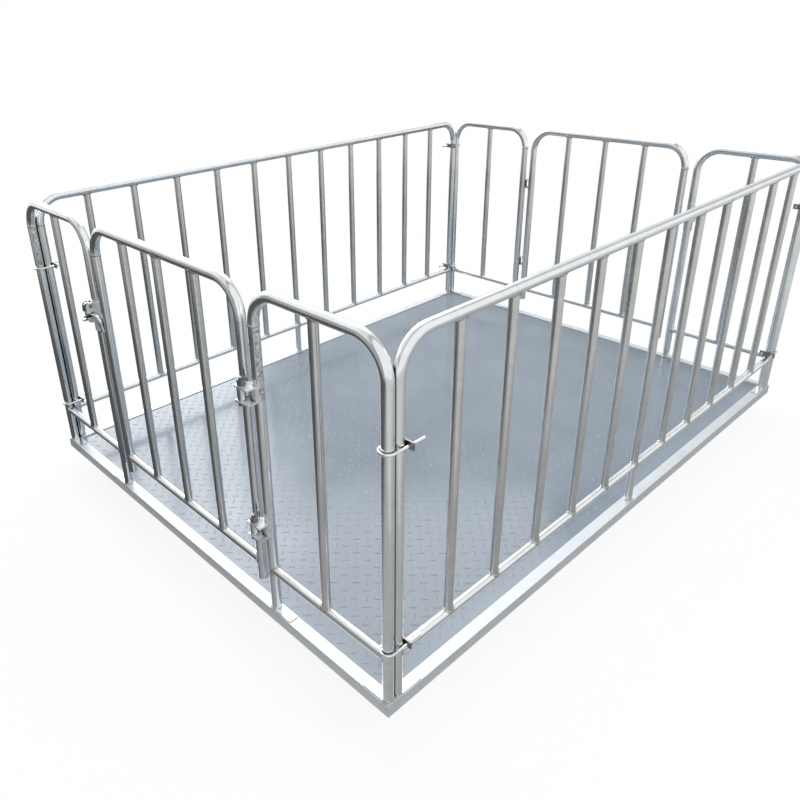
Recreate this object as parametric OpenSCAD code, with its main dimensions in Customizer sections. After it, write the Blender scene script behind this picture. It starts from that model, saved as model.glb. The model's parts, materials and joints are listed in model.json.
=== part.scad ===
// Livestock weighing crate: a low platform scale inside a fence of bent tube panels,
// with a swinging gate at each short end. Millimetres, +Z up, origin on the floor
// under the middle of the platform, +X from the entry gate to the exit gate.

/* [Platform] */
// Length of the platform over the rim
platform_l = 2000; // [1700:10:2400]
// Width of the platform over the rim
platform_w = 1500; // [1300:10:1800]
// Height of the rim's top above the floor
platform_h = 100; // [98:1:110]
// Width and height of the square rim tube
rim_size = 30; // [30:0.5:36]
// Wall of the square rim tube
rim_wall = 2; // [1.5:0.1:2]
// Thickness of the tread plate
deck_t = 5; // [4:0.5:6]
// Drop from the rim's top to the tread plate
deck_drop = 3; // [2:0.5:5]
// Gap between the tread plate and the rim
deck_gap = 0.8; // [0.5:0.1:0.9]

/* [Fence] */
// Height of the fence above the rim
fence_h = 820; // [780:5:1100]
// Outside diameter of the hoop tube
hoop_d = 25; // [24:0.1:25.4]
// Wall of the hoop tube, seen at the open gate stiles
hoop_wall = 2; // [1.5:0.1:3]
// Outside diameter of the upright bars
bar_d = 21; // [18:0.1:21.5]
// Outside diameter of the bottom rails
rail_d = 22; // [21.8:0.1:23]
// Radius of the hoop's bends, at the tube's middle
bend_r = 75; // [60:1:100]
// Height of the bottom rails above the rim
rail_h = 115; // [100:1:118]
// Bars in a long side panel, an odd number
side_bars = 11; // [9:2:13]
// Bars in a fixed end panel
end_bars = 1; // [1:1:2]
// Bars in a gate
gate_bars = 3; // [2:1:4]
// Distance between the legs of a fixed end panel
end_panel_w = 370; // [340:1:400]
// Distance from a fixed leg to the gate stile beside it
gate_gap = 45; // [42:1:50]
// Height of the open end of a gate stile above the rim
stile_end_h = 66; // [50:1:80]
// Play between a leg and its hole in the rim
leg_play = 0.4; // [0.3:0.1:0.4]
// Gap between the two legs clamped at a corner
leg_pair_gap = 0.6; // [0.3:0.1:0.9]
// Length of a leg's foot tab
tab_l = 62; // [45:1:80]
// Width of a leg's foot tab
tab_w = 24; // [18:1:25]
// Thickness of a leg's foot tab
tab_t = 3; // [2:0.5:5]

/* [Corner clamps] */
// Diameter of the U-bolt rod
ubolt_d = 6; // [5:0.5:8]
// Play between the U-bolt and the legs
ubolt_play = 1; // [0.5:0.1:1.5]
// Height of the lower U-bolts above the rim
clamp_low_h = 138; // [136:1:180]
// Drop from the fence's top to the upper U-bolts at the entry end
clamp_entry_drop = 216; // [120:1:400]
// Drop from the fence's top to the upper U-bolt at the exit end, left
clamp_exit_left_drop = 112; // [110:1:400]
// Drop from the fence's top to the upper U-bolt at the exit end, right
clamp_exit_right_drop = 156; // [110:1:400]
// Length of a saddle plate
saddle_l = 50; // [46:1:60]
// Width of a saddle plate
saddle_w = 16; // [12:1:18]
// Thickness of a saddle plate
saddle_t = 4; // [3:0.5:6]
// Thread left beyond the nut on the U-bolt's outer arm
ubolt_tail = 30; // [4:1:40]
// Thread left beyond the nut on the U-bolt's inner arm
ubolt_short_tail = 3; // [1:0.5:10]

/* [Gate hinges] */
// Height of the lower hinges above the rim
hinge_low_h = 237; // [200:1:300]
// Drop from the fence's top to the upper hinges
hinge_high_drop = 238; // [180:1:340]
// Distance of the hinge line outside the fence
hinge_out = 28; // [27:0.5:32]
// Diameter of the hinge bolt
hinge_bolt_d = 10; // [8:0.5:12]
// Thickness of the bracket's plate
ear_t = 4; // [3:0.5:5]
// Clear height between the bracket's ears
ear_gap = 30; // [26:1:36]
// Reach of the ears' square edges past the bolt's middle
ear_r = 11; // [10.5:0.5:14]
// Width of the bracket on the leg
ear_w = 22; // [20:1:24]
// Outside diameter of the gate's knuckle
knuckle_d = 20; // [17:0.5:20]
// Thickness of the knuckle's arm
knuckle_arm_t = 8; // [6:0.5:10]
// Play between the bolt and the knuckle
hinge_play = 0.08; // [0.05:0.01:0.1]

/* [Gate latches] */
// Drop from the fence's top to the latch
latch_drop = 252; // [180:1:340]
// Diameter of the striker rod
striker_d = 10; // [8:0.5:11]
// Distance of the striker outside the fence
striker_out = 22; // [21:0.5:24]
// Drop of the striker's leg, which is welded to the gate stile
striker_leg = 44; // [36:1:60]
// Reach of the latch's cheeks outside the fence
cheek_out = 38; // [36:0.5:42]
// Height of the latch's cheeks
cheek_h = 56; // [52:1:64]
// Thickness of the latch's plates
latch_t = 3; // [2.5:0.5:4]
// Width of the latch over its cheeks
latch_w = 26; // [24:1:30]
// Thickness of the drop hook
hook_t = 6; // [5:0.5:8]
// Diameter of the hook's pivot pin
hook_pin_d = 6; // [5:0.5:6.5]
// Height of the saddle that holds the latch to the leg
latch_saddle_h = 30; // [20:1:40]

/* [Weighing gear] */
// Depth of the channels under the deck
channel_h = 50; // [40:1:54]
// Width of the channels under the deck
channel_w = 40; // [36:1:46]
// Thickness of the channels' walls
channel_t = 4; // [3:0.5:6]
// Number of stringers
stringers = 6; // [4:1:6]
// Length of a corner mounting plate
mount_l = 180; // [170:1:200]
// Width of a corner mounting plate
mount_w = 140; // [120:1:150]
// Gap between a mounting plate and the channels beside it
mount_gap = 10; // [5:1:15]
// Length of a load cell
cell_l = 130; // [124:1:150]
// Width and height of a load cell
cell_s = 32; // [30:0.5:34]
// Diameter of the load cell's bolts and of the foot stud
stud_d = 12; // [10:0.5:12]
// Thickness of the corner mounting plates
mount_t = 10; // [8:0.5:12]
// Thickness of the load cell spacers
spacer_t = 4; // [3:0.5:5]
// Diameter of the rubber foot pads
pad_d = 60; // [50:1:80]
// Thickness of the rubber foot pads
pad_h = 12; // [10:0.5:14]

/* [Hidden] */
$fn = 48;

// Seats: a welded piece stops this far from the tube it is welded to
weld_gap = 0.05;
// A clamped or seated round face stops this far from its seat
seat_gap = 0.3;
// A cut runs this far past the face that it opens
over = 1;

// Heights above the rim of what hangs from the fence's top
clamp_entry_h = fence_h - clamp_entry_drop;
clamp_exit_left_h = fence_h - clamp_exit_left_drop;
clamp_exit_right_h = fence_h - clamp_exit_right_drop;
hinge_high_h = fence_h - hinge_high_drop;
latch_h = fence_h - latch_drop;

// Planes of the fence and of the platform
end_x = platform_l / 2 - rim_size / 2;
side_y = platform_w / 2 - rim_size / 2;
leg_pitch = hoop_d + leg_pair_gap;
side_panel_w = 2 * (end_x - leg_pitch);
inner_leg_y = side_y - end_panel_w;
stile_y = inner_leg_y - gate_gap;
top_axis_h = fence_h - hoop_d / 2;
socket_depth = rim_size - rim_wall;
deck_under = platform_h - deck_drop - deck_t;
inside_x = platform_l / 2 - rim_size;
inside_y = platform_w / 2 - rim_size;

// Hinge line and bolt, in the end's own frame where the fence plane is x = 0
hinge_y = -(stile_y + gate_gap / 2);
hinge_nut_af = 1.7 * hinge_bolt_d;
hinge_nut_h = 0.8 * hinge_bolt_d;
lock_nut_h = 0.6 * hinge_bolt_d;
thread_end = 4;
knuckle_h = ear_gap - 2 * seat_gap;
knuckle_arm_h = knuckle_h - 4;

// Latch: the striker lies a little below the latch's middle, the hook turns above it
striker_drop = 6;
striker_play = 1.5;
striker_bend_r = 16;
// The leg leans in until its foot is let into the stile by this much
striker_sink = 2;
striker_lean = asin((striker_out - hoop_d / 2 - striker_d / 2 + striker_sink) / striker_leg);
hook_eye_r = 9;
hook_pivot_out = hoop_d / 2 + latch_t + seat_gap + hook_eye_r;
hook_pivot_up = 18;
hook_nose_w = 9;
hook_nose_drop = 17;
hook_tab_out = 6;
hook_tab_r = 3.5;
hook_pin_play = 0.08;
pin_head_d = 1.7 * hook_pin_d;
pin_head_h = 0.5 * hook_pin_d;
cheek_corner_r = 12;

// Corner clamps
ubolt_r = hoop_d / 2 + ubolt_play + ubolt_d / 2;
clamp_nut_af = 1.65 * ubolt_d;
clamp_nut_h = 0.8 * ubolt_d;
saddle_x = leg_pitch + hoop_d / 2 + seat_gap;
thread_play = 0.05;

// Weighing gear at a corner
mount_x = inside_x - channel_w - mount_gap - mount_l / 2;
mount_y = inside_y - mount_w / 2;
cell_top = deck_under - mount_t - spacer_t;
cell_low = cell_top - cell_s;
cell_edge = 16;
bolt_pitch = 26;
spacer_l = bolt_pitch + 2 * cell_edge;
bolt_head_af = 1.55 * stud_d;
bolt_head_h = 0.65 * stud_d;
stud_nut_h = 0.5 * stud_d;
cup_gap = 4;
cup_top = cell_low - stud_nut_h - cup_gap;
cup_rim_h = 4;
cup_neck_h = 6;
gauge_d = 22;
gauge_depth = 6;
stringer_last_y = inside_y - mount_w - mount_gap - channel_w / 2;
stringer_pitch = 2 * stringer_last_y / (stringers - 1);

// Junction box between two stringers
box_l = 140;
box_w = 100;
box_h = 42;
box_wall = 3;
lid_t = 4;
box_y = stringers % 2 == 0 ? -stringer_pitch : -stringer_pitch / 2;
gland_af = 20;
gland_body_h = 8;
gland_cap_h = 12;
gland_bore_d = 7;

zinc = "silver";
bright_zinc = "gainsboro";
paint = "lightslategray";
cast_steel = "dimgray";
rubber_black = "black";
box_grey = "gray";

// Places children on the fence plane of one end, with z = 0 on the rim
module at_entry() {
    translate([-end_x, 0, platform_h])
        children();
}

module at_exit() {
    rotate([0, 0, 180])
        at_entry()
            children();
}

// Places children at one corner of the platform, turned so that +x points outward
module at_corner(sx, sy) {
    translate([sx * mount_x, sy * mount_y, 0])
        rotate([0, 0, sx > 0 ? 0 : 180])
            children();
}

module at_corners() {
    for (sx = [-1, 1], sy = [-1, 1])
        at_corner(sx, sy)
            children();
}

// Hexagon across flats
module hex(af, h) {
    cylinder(d = af / cos(30), h = h, $fn = 6);
}

// Quarter bend of hoop tube from the upright at +x to the level top
module bend() {
    rotate([90, 0, 0])
        rotate_extrude(angle = 90)
            translate([bend_r, 0])
                circle(d = hoop_d);
}

// Bent tube hoop in the XZ plane, legs w apart, from z = low up
module hoop(w, low) {
    straight = top_axis_h - bend_r;
    for (side = [0, 1])
        mirror([side, 0, 0]) {
            translate([w / 2, 0, low])
                cylinder(d = hoop_d, h = straight - low);
            translate([w / 2 - bend_r, 0, straight])
                bend();
        }
    translate([bend_r - w / 2, 0, top_axis_h])
        rotate([0, 90, 0])
            cylinder(d = hoop_d, h = w - 2 * bend_r);
}

// Bottom rail and evenly spaced bars between the hoop's legs
module infill(w, bars) {
    translate([-w / 2, 0, rail_h])
        rotate([0, 90, 0])
            cylinder(d = rail_d, h = w);
    for (i = [1 : bars])
        translate([-w / 2 + i * w / (bars + 1), 0, rail_h])
            cylinder(d = bar_d, h = top_axis_h - rail_h);
}

// Tab that lies on the rim beside a leg's foot and points into the panel
module foot_tabs(w) {
    for (side = [0, 1])
        mirror([side, 0, 0])
            translate([-w / 2, -tab_w / 2, 0])
                cube([tab_l, tab_w, tab_t]);
}

module standing_panel(w, bars) {
    hoop(w, -socket_depth);
    infill(w, bars);
    foot_tabs(w);
}

module side_panel() {
    color(zinc) {
        standing_panel(side_panel_w, side_bars);
        // The middle bar runs on below the rail and stands on the rim
        cylinder(d = bar_d, h = rail_h);
    }
}

module end_panel() {
    color(zinc)
        rotate([0, 0, 90])
            standing_panel(end_panel_w, end_bars);
}

// Gate frame with the open bores of its stile ends
module gate_frame() {
    color(zinc)
        rotate([0, 0, 90])
            difference() {
                union() {
                    hoop(2 * stile_y, stile_end_h);
                    infill(2 * stile_y, gate_bars);
                }
                for (side = [-1, 1])
                    translate([side * stile_y, 0, stile_end_h - over])
                        cylinder(d = hoop_d - 2 * hoop_wall, h = rail_h - rail_d / 2 - stile_end_h);
            }
}

module rim_frame() {
    inner = rim_size - rim_wall;
    color(bright_zinc)
        difference() {
            translate([0, 0, platform_h - rim_size / 2])
                cube([platform_l, platform_w, rim_size], center = true);
            translate([0, 0, platform_h - rim_size / 2])
                cube([2 * inside_x, 2 * inside_y, rim_size + 2 * over], center = true);
            // Hollow of the tube
            translate([0, 0, platform_h - rim_size / 2])
                difference() {
                    cube([platform_l - 2 * rim_wall, platform_w - 2 * rim_wall,
                        rim_size - 2 * rim_wall], center = true);
                    cube([2 * (inside_x + rim_wall), 2 * (inside_y + rim_wall),
                        rim_size], center = true);
                }
            // Holes for the fence legs
            for (sx = [-1, 1], sy = [-1, 1]) {
                leg_hole(sx * end_x, sy * side_y);
                leg_hole(sx * end_x, sy * inner_leg_y);
                leg_hole(sx * side_panel_w / 2, sy * side_y);
            }
        }
}

module leg_hole(x, y) {
    translate([x, y, platform_h - rim_wall - over])
        cylinder(d = hoop_d + 2 * leg_play, h = rim_wall + 2 * over);
}

module deck_plate() {
    color(paint)
        translate([-inside_x + deck_gap, -inside_y + deck_gap, deck_under])
            cube([2 * (inside_x - deck_gap), 2 * (inside_y - deck_gap), deck_t]);
}

// Channel along X with its open side up, welded by its lips under the deck
module channel(length) {
    translate([0, 0, deck_under - channel_h / 2])
        difference() {
            cube([length, channel_w, channel_h], center = true);
            translate([0, 0, channel_t])
                cube([length + 2 * over, channel_w - 2 * channel_t, channel_h], center = true);
        }
}

module deck_stringers() {
    color(paint)
        for (i = [0 : stringers - 1])
            translate([0, i * stringer_pitch - stringer_last_y, 0])
                channel(2 * (inside_x - channel_w));
}

module end_channel(side) {
    color(paint)
        translate([side * (inside_x - channel_w / 2), 0, 0])
            rotate([0, 0, 90])
                channel(2 * inside_y);
}

module cell_mount_plates() {
    color(paint)
        at_corners()
            difference() {
                translate([-mount_l / 2, -mount_w / 2, deck_under - mount_t])
                    cube([mount_l, mount_w, mount_t]);
                cell_bolt_holes(deck_under - mount_t - over, mount_t + 2 * over);
            }
}

// Two bolt holes at the fixed end of a load cell
module cell_bolt_holes(z, h) {
    for (i = [0, 1])
        translate([-cell_l / 2 + cell_edge + i * bolt_pitch, 0, z])
            cylinder(d = stud_d + 2 * thread_play, h = h);
}

module load_cell_spacers() {
    color(bright_zinc)
        at_corners()
            difference() {
                translate([-cell_l / 2, -cell_s / 2, cell_top])
                    cube([spacer_l, cell_s, spacer_t]);
                cell_bolt_holes(cell_top - over, spacer_t + 2 * over);
            }
}

module load_cell(sx, sy) {
    color(bright_zinc)
        at_corner(sx, sy)
            difference() {
                translate([-cell_l / 2, -cell_s / 2, cell_low])
                    cube([cell_l, cell_s, cell_s]);
                cell_bolt_holes(cell_low - over, cell_s + 2 * over);
                // Round gauge pockets on both sides of the beam
                for (side = [0, 1])
                    mirror([0, side, 0])
                        translate([cell_edge, cell_s / 2 - gauge_depth, cell_low + cell_s / 2])
                            rotate([-90, 0, 0])
                                cylinder(d = gauge_d, h = gauge_depth + over);
                // Threaded hole for the foot stud
                translate([cell_l / 2 - cell_edge, 0, cell_low - over])
                    cylinder(d = stud_d + 2 * thread_play, h = cell_s + 2 * over);
            }
}

module load_cell_bolts() {
    color(cast_steel)
        at_corners()
            for (i = [0, 1])
                translate([-cell_l / 2 + cell_edge + i * bolt_pitch, 0, 0]) {
                    translate([0, 0, cell_low - bolt_head_h])
                        hex(bolt_head_af, bolt_head_h);
                    translate([0, 0, cell_low])
                        cylinder(d = stud_d, h = deck_under - cell_low - over);
                }
}

// Levelling foot: turned cup and threaded stud in one piece
module foot(sx, sy) {
    color(bright_zinc)
        at_corner(sx, sy)
            translate([cell_l / 2 - cell_edge, 0, 0]) {
                rotate_extrude()
                    polygon([
                        [0, pad_h], [0.42 * pad_d, pad_h], [0.42 * pad_d, pad_h + cup_rim_h],
                        [stud_d, cup_top - cup_neck_h], [stud_d, cup_top], [0, cup_top]
                    ]);
                translate([0, 0, cup_top])
                    cylinder(d = stud_d, h = cell_top - cup_top);
            }
}

module foot_lock_nuts() {
    color(cast_steel)
        at_corners()
            translate([cell_l / 2 - cell_edge, 0, cell_low - stud_nut_h])
                difference() {
                    hex(bolt_head_af, stud_nut_h);
                    translate([0, 0, -over])
                        cylinder(d = stud_d + 2 * thread_play, h = stud_nut_h + 2 * over);
                }
}

module foot_pad(sx, sy) {
    chamfer = 2;
    color(rubber_black)
        at_corner(sx, sy)
            translate([cell_l / 2 - cell_edge, 0, 0])
                rotate_extrude()
                    polygon([
                        [0, 0], [pad_d / 2 - chamfer, 0], [pad_d / 2, chamfer],
                        [pad_d / 2, pad_h - chamfer], [pad_d / 2 - chamfer, pad_h], [0, pad_h]
                    ]);
}

module junction_box() {
    color(box_grey)
        translate([0, box_y, deck_under - box_h / 2])
            difference() {
                cube([box_l, box_w, box_h], center = true);
                translate([0, 0, -box_wall])
                    cube([box_l - 2 * box_wall, box_w - 2 * box_wall, box_h], center = true);
            }
}

module junction_box_lid() {
    color(box_grey)
        translate([0, box_y, deck_under - box_h - lid_t / 2])
            cube([box_l, box_w, lid_t], center = true);
}

// Four glands for the cells and one for the display lead
module cable_glands() {
    color(rubber_black) {
        for (side = [0, 1], row = [-1, 1])
            mirror([side, 0, 0])
                gland(row * box_w / 4);
        gland(0);
    }
}

module gland(y) {
    translate([box_l / 2, box_y + y, deck_under - box_h / 2])
        rotate([0, 90, 0])
            difference() {
                union() {
                    hex(gland_af, gland_body_h);
                    translate([0, 0, gland_body_h])
                        cylinder(d1 = gland_af - 2, d2 = gland_af - 6, h = gland_cap_h);
                }
                translate([0, 0, -over])
                    cylinder(d = gland_bore_d, h = gland_body_h + gland_cap_h + 2 * over);
            }
}

// Corner clamps: x = 0 on the end panel's leg, +x points inboard, +y out of the crate's side
module at_clamps() {
    for (h = [clamp_low_h, clamp_entry_h])
        for (sy = [-1, 1])
            at_entry()
                on_corner_post(sy, h)
                    children();
    exit_heights = [[-1, clamp_exit_left_h], [1, clamp_exit_right_h]];
    for (place = exit_heights)
        for (h = [clamp_low_h, place[1]])
            at_exit()
                on_corner_post(place[0], h)
                    children();
}

module on_corner_post(sy, h) {
    translate([0, sy * side_y, h])
        mirror([0, sy < 0 ? 1 : 0, 0])
            children();
}

// U-bolt round both legs of a corner, its outer arm left long
module corner_u_bolts() {
    nut_face = saddle_x + saddle_t + clamp_nut_h;
    color(bright_zinc)
        at_clamps() {
            rotate([0, 0, 90])
                rotate_extrude(angle = 180)
                    translate([ubolt_r, 0])
                        circle(d = ubolt_d);
            for (arm = [[-1, ubolt_short_tail], [1, ubolt_tail]])
                translate([0, arm[0] * ubolt_r, 0])
                    rotate([0, 90, 0])
                        cylinder(d = ubolt_d, h = nut_face + arm[1]);
        }
}

module clamp_saddle_plates() {
    color(bright_zinc)
        at_clamps()
            difference() {
                translate([saddle_x, -saddle_l / 2, -saddle_w / 2])
                    cube([saddle_t, saddle_l, saddle_w]);
                for (side = [-1, 1])
                    translate([saddle_x - over, side * ubolt_r, 0])
                        rotate([0, 90, 0])
                            cylinder(d = ubolt_d + 2 * seat_gap, h = saddle_t + 2 * over);
            }
}

module clamp_nuts() {
    color(bright_zinc)
        at_clamps()
            for (side = [-1, 1])
                translate([saddle_x + saddle_t, side * ubolt_r, 0])
                    rotate([0, 90, 0])
                        difference() {
                            hex(clamp_nut_af, clamp_nut_h);
                            translate([0, 0, -over])
                                cylinder(d = ubolt_d + 2 * thread_play, h = clamp_nut_h + 2 * over);
                        }
}

// Removes the fixed leg or the gate stile that a welded piece sits on
module cope(y) {
    translate([0, y, -fence_h])
        cylinder(d = hoop_d + 2 * weld_gap, h = 2 * fence_h);
}

// Plan of an ear: square to the fence, cut back where the gate stile passes
module ear_plan() {
    leg_edge = -inner_leg_y - ear_w / 2;
    polygon([
        [0, leg_edge], [0, leg_edge + ear_w],
        [-hinge_out + ear_r, hinge_y + ear_r], [-hinge_out - ear_r, hinge_y + ear_r],
        [-hinge_out - ear_r, leg_edge]
    ]);
}

// Plan of the knuckle's arm, from the middle of the gate stile to the hinge line
module arm_plan() {
    foot = [0, -stile_y];
    pin = [-hinge_out, hinge_y];
    run = pin - foot;
    across = [-run[1], run[0]] * knuckle_arm_t / 2 / norm(run);
    polygon([foot + across, foot - across, pin - across, pin + across]);
}

module at_hinges() {
    for (h = [hinge_low_h, hinge_high_h])
        translate([0, 0, h])
            children();
}

// Bracket of bent plate on the fixed leg: a back plate and two ears for the bolt
module hinge_brackets() {
    total = ear_gap + 2 * ear_t;
    color(bright_zinc)
        at_hinges()
            difference() {
                union() {
                    translate([-hoop_d / 2 - ear_t, -inner_leg_y - ear_w / 2, -total / 2])
                        cube([hoop_d / 2 + ear_t, ear_w, total]);
                    for (z = [-total / 2, ear_gap / 2])
                        translate([0, 0, z])
                            linear_extrude(ear_t)
                                ear_plan();
                }
                cope(-inner_leg_y);
                translate([-hinge_out, hinge_y, -total])
                    cylinder(d = hinge_bolt_d + 2 * thread_play, h = 2 * total);
            }
}

// Knuckle on the gate stile, between the bracket's ears
module hinge_knuckles() {
    color(bright_zinc)
        at_hinges()
            difference() {
                union() {
                    translate([0, 0, -knuckle_arm_h / 2])
                        linear_extrude(knuckle_arm_h)
                            arm_plan();
                    translate([-hinge_out, hinge_y, -knuckle_h / 2])
                        cylinder(d = knuckle_d, h = knuckle_h);
                }
                cope(-stile_y);
                translate([-hinge_out, hinge_y, -ear_gap])
                    cylinder(d = hinge_bolt_d + 2 * hinge_play, h = 2 * ear_gap);
            }
}

// Hinge bolt with its head under the bracket
module hinge_bolts() {
    half = ear_gap / 2 + ear_t;
    color(cast_steel)
        at_hinges()
            translate([-hinge_out, hinge_y, -half]) {
                translate([0, 0, -hinge_nut_h])
                    hex(hinge_nut_af, hinge_nut_h);
                cylinder(d = hinge_bolt_d, h = 2 * half + hinge_nut_h + lock_nut_h + thread_end);
            }
}

// Nut and lock nut on top of the bracket
module hinge_nuts() {
    half = ear_gap / 2 + ear_t;
    color(cast_steel)
        at_hinges()
            for (nut = [[half, hinge_nut_h], [half + hinge_nut_h + thread_play, lock_nut_h]])
                translate([-hinge_out, hinge_y, nut[0]])
                    difference() {
                        hex(hinge_nut_af, nut[1]);
                        translate([0, 0, -over])
                            cylinder(d = hinge_bolt_d + 2 * thread_play, h = nut[1] + 2 * over);
                    }
}

// Profile of a latch cheek seen along Y: outward is -x, the notch takes the striker
module cheek_profile() {
    r = cheek_corner_r;
    notch_w = striker_d + 2 * striker_play;
    difference() {
        union() {
            translate([-cheek_out + r, -cheek_h / 2])
                square([cheek_out - r, cheek_h]);
            translate([-cheek_out, -cheek_h / 2 + r])
                square([cheek_out, cheek_h - 2 * r]);
            for (z = [-1, 1])
                translate([-cheek_out + r, z * (cheek_h / 2 - r)])
                    circle(r = r);
        }
        translate([-striker_out, -striker_drop])
            circle(d = notch_w);
        translate([-cheek_out - over, -striker_drop - notch_w / 2])
            square([cheek_out + over - striker_out, notch_w]);
        translate([-hook_pivot_out, hook_pivot_up])
            circle(d = hook_pin_d + 2 * thread_play);
    }
}

// Extrudes a profile of x and z into a plate of thickness t, its middle at y
module plate_at(y, t) {
    translate([0, y + t / 2, 0])
        rotate([90, 0, 0])
            linear_extrude(t)
                children();
}

// Latch bracket: back plate, two notched cheeks and a saddle round the fixed leg
module latch_bracket() {
    saddle_top = -cheek_h / 2;
    color(bright_zinc)
        translate([0, 0, latch_h])
            difference() {
                union() {
                    for (side = [-1, 1])
                        plate_at(inner_leg_y + side * (latch_w - latch_t) / 2, latch_t)
                            cheek_profile();
                    translate([-hoop_d / 2 - latch_t, inner_leg_y - latch_w / 2, -cheek_h / 2])
                        cube([hoop_d / 2 + latch_t, latch_w, cheek_h]);
                    translate([0, inner_leg_y, saddle_top - latch_saddle_h])
                        intersection() {
                            cylinder(d = hoop_d + 2 * latch_t, h = latch_saddle_h);
                            translate([-hoop_d, -hoop_d, -over])
                                cube([hoop_d, 2 * hoop_d, latch_saddle_h + 2 * over]);
                        }
                }
                cope(inner_leg_y);
            }
}

// Drop hook: an eye on the pivot pin, a nose outside the striker and a thumb tab
module hook_profile() {
    nose_in = striker_out + striker_d / 2 + striker_play;
    nose_out = nose_in + hook_nose_w;
    tip = -striker_drop - hook_nose_drop + hook_tab_r;
    difference() {
        union() {
            translate([-hook_pivot_out, hook_pivot_up])
                circle(r = hook_eye_r);
            polygon([
                [-hook_pivot_out, hook_pivot_up + hook_eye_r],
                [-nose_out + hook_eye_r / 2, hook_pivot_up + hook_eye_r],
                [-nose_out, hook_pivot_up + hook_eye_r / 2],
                [-nose_out, tip],
                [-nose_in, tip],
                [-nose_in, hook_pivot_up - hook_eye_r],
                [-hook_pivot_out, hook_pivot_up - hook_eye_r]
            ]);
            // Thumb tab turned outward at the tip
            translate([-nose_out - hook_tab_out, tip - hook_tab_r])
                square([hook_nose_w + hook_tab_out, 2 * hook_tab_r]);
            translate([-nose_out - hook_tab_out, tip])
                circle(r = hook_tab_r);
        }
        translate([-hook_pivot_out, hook_pivot_up])
            circle(d = hook_pin_d + 2 * hook_pin_play);
    }
}

module latch_hook() {
    color(bright_zinc)
        translate([0, 0, latch_h])
            plate_at(inner_leg_y, hook_t)
                hook_profile();
}

// Pivot pin with a head on one cheek and an upset end on the other
module latch_pin() {
    color(cast_steel)
        translate([-hook_pivot_out, inner_leg_y, latch_h + hook_pivot_up])
            rotate([90, 0, 0]) {
                cylinder(d = hook_pin_d, h = latch_w, center = true);
                for (side = [0, 1])
                    mirror([0, 0, side])
                        translate([0, 0, latch_w / 2])
                            cylinder(d1 = pin_head_d, d2 = hook_pin_d, h = pin_head_h);
            }
}

// Striker: a rod that reaches into the latch, bent down to a leg welded on the gate stile
module striker() {
    reach = inner_leg_y + latch_w / 2 + striker_d / 2 - stile_y;
    color(bright_zinc)
        translate([0, stile_y, latch_h - striker_drop])
            difference() {
                translate([-striker_out, 0, 0])
                    rotate([0, -striker_lean, 0]) {
                        translate([0, striker_bend_r, 0])
                            rotate([-90, 0, 0])
                                cylinder(d = striker_d, h = reach - striker_bend_r);
                        translate([0, reach, 0])
                            sphere(d = striker_d);
                        translate([0, striker_bend_r, -striker_bend_r])
                            rotate([90, 0, -90])
                                rotate_extrude(angle = 90)
                                    translate([striker_bend_r, 0])
                                        circle(d = striker_d);
                        translate([0, 0, -striker_leg])
                            cylinder(d = striker_d, h = striker_leg - striker_bend_r);
                    }
                cope(0);
            }
}

rim_frame();
deck_plate();
deck_stringers();
end_channel(-1);  // entry_end_channel
end_channel(1);  // exit_end_channel
cell_mount_plates();
load_cell_spacers();
load_cell(-1, -1);  // load_cell_entry_right
load_cell(-1, 1);  // load_cell_entry_left
load_cell(1, -1);  // load_cell_exit_right
load_cell(1, 1);  // load_cell_exit_left
load_cell_bolts();
foot(-1, -1);  // foot_entry_right
foot(-1, 1);  // foot_entry_left
foot(1, -1);  // foot_exit_right
foot(1, 1);  // foot_exit_left
foot_lock_nuts();
foot_pad(-1, -1);  // foot_pad_entry_right
foot_pad(-1, 1);  // foot_pad_entry_left
foot_pad(1, -1);  // foot_pad_exit_right
foot_pad(1, 1);  // foot_pad_exit_left
junction_box();
junction_box_lid();
cable_glands();
translate([0, -side_y, platform_h]) side_panel();  // right_side_panel
translate([0, side_y, platform_h]) side_panel();  // left_side_panel
at_entry() translate([0, -side_y + end_panel_w / 2, 0]) end_panel();  // entry_right_panel
at_entry() translate([0, side_y - end_panel_w / 2, 0]) end_panel();  // entry_left_panel
at_exit() translate([0, side_y - end_panel_w / 2, 0]) end_panel();  // exit_right_panel
at_exit() translate([0, -side_y + end_panel_w / 2, 0]) end_panel();  // exit_left_panel
corner_u_bolts();
clamp_saddle_plates();
clamp_nuts();
at_entry() gate_frame();  // entry_gate
at_exit() gate_frame();  // exit_gate
at_entry() hinge_brackets();  // entry_hinge_brackets
at_exit() hinge_brackets();  // exit_hinge_brackets
at_entry() hinge_knuckles();  // entry_hinge_knuckles
at_exit() hinge_knuckles();  // exit_hinge_knuckles
at_entry() hinge_bolts();  // entry_hinge_bolts
at_exit() hinge_bolts();  // exit_hinge_bolts
at_entry() hinge_nuts();  // entry_hinge_nuts
at_exit() hinge_nuts();  // exit_hinge_nuts
at_entry() latch_bracket();  // entry_latch_bracket
at_exit() latch_bracket();  // exit_latch_bracket
at_entry() latch_hook();  // entry_latch_hook
at_exit() latch_hook();  // exit_latch_hook
at_entry() latch_pin();  // entry_latch_pin
at_exit() latch_pin();  // exit_latch_pin
at_entry() striker();  // entry_striker
at_exit() striker();  // exit_striker
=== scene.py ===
"""Looks of a livestock weighing crate: a tread plate platform inside a fence of galvanised tube.

Lengths are in metres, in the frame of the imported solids: +Z up, floor at z = 0, +X from entry to exit.
"""
import json
import math
import random

import bmesh
import bpy
from mathutils import Matrix, Vector


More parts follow.
